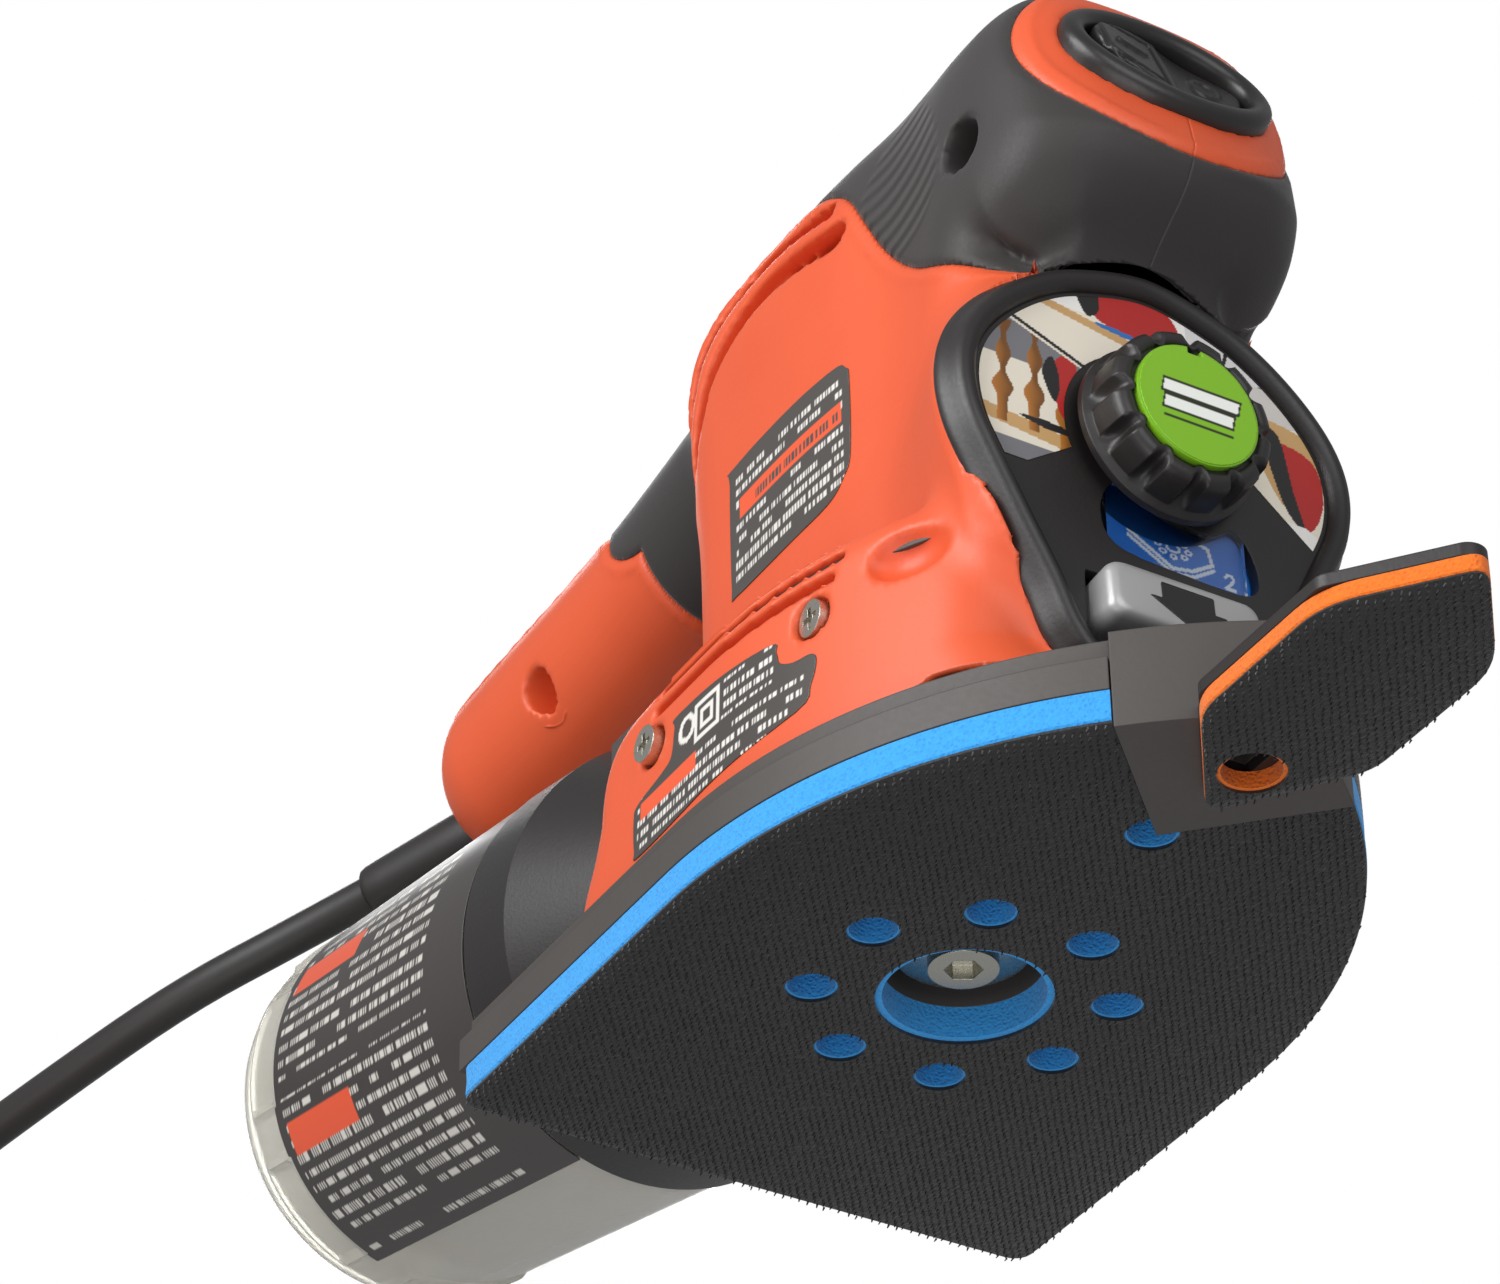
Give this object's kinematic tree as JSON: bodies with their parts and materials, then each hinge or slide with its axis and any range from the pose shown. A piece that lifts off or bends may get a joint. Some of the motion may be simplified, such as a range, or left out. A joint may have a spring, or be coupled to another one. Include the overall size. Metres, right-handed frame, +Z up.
{
  "type": "detail mouse sander",
  "caption": "Corded palm detail sander with a pointed hook-and-loop pad, a detachable finger at the tip, a selector dial and a clear dust canister.",
  "frame": {"origin": "middle of the footprint of the tool without its cord, at the height of the finger's hook sheet, the lowest face", "axes": "+X towards the pointed tip, +Y to the tool's left, +Z up from the sanding face"},
  "size_m": [0.3487, 0.2495, 0.1568],
  "materials": {
    "orange_abs": "moulded orange ABS, fine satin",
    "soft_grip": "matte black thermoplastic elastomer overmould",
    "black_plastic": "moulded black glass-filled nylon",
    "blue_foam": "closed-cell EVA foam, cut edge",
    "orange_foam": "closed-cell EVA foam, cut edge",
    "hook_fabric": "woven hook fastener with nylon hooks",
    "zinc_steel": "zinc plated steel",
    "bearing_steel": "ground bearing steel",
    "laminated_steel": "stacked silicon steel laminations",
    "copper_wire": "enamelled copper wire",
    "brass_part": "pressed brass",
    "carbon": "pressed carbon graphite",
    "silver_plastic": "silver painted ABS, satin",
    "green_print": "printed green disc under clear film",
    "label_film": "printed polyester film",
    "clear_plastic": "clear polycarbonate",
    "indicator_print": "blue printed plastic disc",
    "circuit_board": "printed circuit board",
    "filter_paper": "pleated cream filter paper",
    "red_plastic": "moulded red polypropylene",
    "cord_pvc": "black flexible PVC jacket"
  },
  "bodies": {
    "body": {"bearing_plate": "black_plastic", "brush_holders": "black_plastic", "brush_springs": "zinc_steel", "carbon_brushes": "carbon", "cord_boot": "cord_pvc", "cord_coil": "cord_pvc", "cord_lead": "cord_pvc", "cord_tail": "cord_pvc", "dust_spigot": "black_plastic", "field_core": "laminated_steel", "field_windings": "copper_wire", "housing_screws": "zinc_steel", "left_grip": "soft_grip", "left_housing": "orange_abs", "lower_bearing": "bearing_steel", "mains_plug": "cord_pvc", "panel_label": "label_film", "plug_blades": "brass_part", "release_spring": "zinc_steel", "right_grip": "soft_grip", "right_housing": "orange_abs", "selector_panel": "black_plastic", "speed_module": "circuit_board", "switch_bezel": "black_plastic", "switch_body": "black_plastic", "upper_bearing": "bearing_steel", "window_lens": "clear_plastic"},
    "rotor": {"eccentric_hub": "zinc_steel", "counterweight": "zinc_steel", "cooling_fan": "black_plastic", "armature_shaft": "zinc_steel", "armature_core": "laminated_steel", "armature_windings": "copper_wire", "commutator": "copper_wire", "pad_screw": "zinc_steel", "pad_washer": "black_plastic"},
    "pad": {"pad_base": "black_plastic", "foam_pad": "blue_foam", "hook_pad": "hook_fabric", "pad_bearing": "bearing_steel", "flex_legs": "black_plastic"},
    "finger_tip": {"tip_mount": "black_plastic", "finger_plate": "black_plastic", "finger_foam": "orange_foam", "finger_hook": "hook_fabric"},
    "rocker": {"switch_rocker": "black_plastic"},
    "dial": {"selector_dial": "black_plastic", "dial_cap": "green_print", "indicator_disc": "indicator_print", "selector_cam": "black_plastic"},
    "release": {"release_button": "silver_plastic"},
    "filter_unit": {"canister_adapter": "black_plastic", "filter_frame": "red_plastic", "pleated_filter": "filter_paper"},
    "dust_bin": {"dust_bin": "clear_plastic", "bin_label": "label_film"}
  },
  "joints": [
    {"name": "motor_spin", "type": "hinge", "parent": "body", "child": "rotor", "pos_m": [0.03033, 0, 0.0638], "axis": [0, 0, 1], "continuous": true},
    {"name": "pad_orbit", "type": "hinge", "parent": "rotor", "child": "pad", "pos_m": [0.03132, 0, 0.0188], "axis": [0, 0, 1], "continuous": true},
    {"name": "finger_pull", "type": "slide", "parent": "pad", "child": "finger_tip", "axis": [1, 0, 0], "range_m": [0, 0.03]},
    {"name": "rocker_tilt", "type": "hinge", "parent": "body", "child": "rocker", "pos_m": [0.09732, 0, 0.1348], "axis": [0.3907, 0, -0.9205], "range_deg": [0, 12]},
    {"name": "dial_turn", "type": "hinge", "parent": "body", "child": "dial", "pos_m": [0.09133, 0, 0.069], "axis": [1, 0, 0], "continuous": true},
    {"name": "release_press", "type": "slide", "parent": "body", "child": "release", "axis": [0, 0, -1], "range_m": [0, 0.0025], "stiffness_N_per_m": 600, "springref_m": -0.001, "deforming": ["release_spring"]},
    {"name": "canister_pull", "type": "slide", "parent": "body", "child": "filter_unit", "axis": [-0.9781, 0, 0.2079], "range_m": [0, 0.04]},
    {"name": "bin_pull", "type": "slide", "parent": "filter_unit", "child": "dust_bin", "axis": [-0.9781, 0, 0.2079], "range_m": [0, 0.08]}
  ],
  "couplings": [
    {"joint": "pad_orbit", "follows": "motor_spin", "ratio": -1}
  ]
}
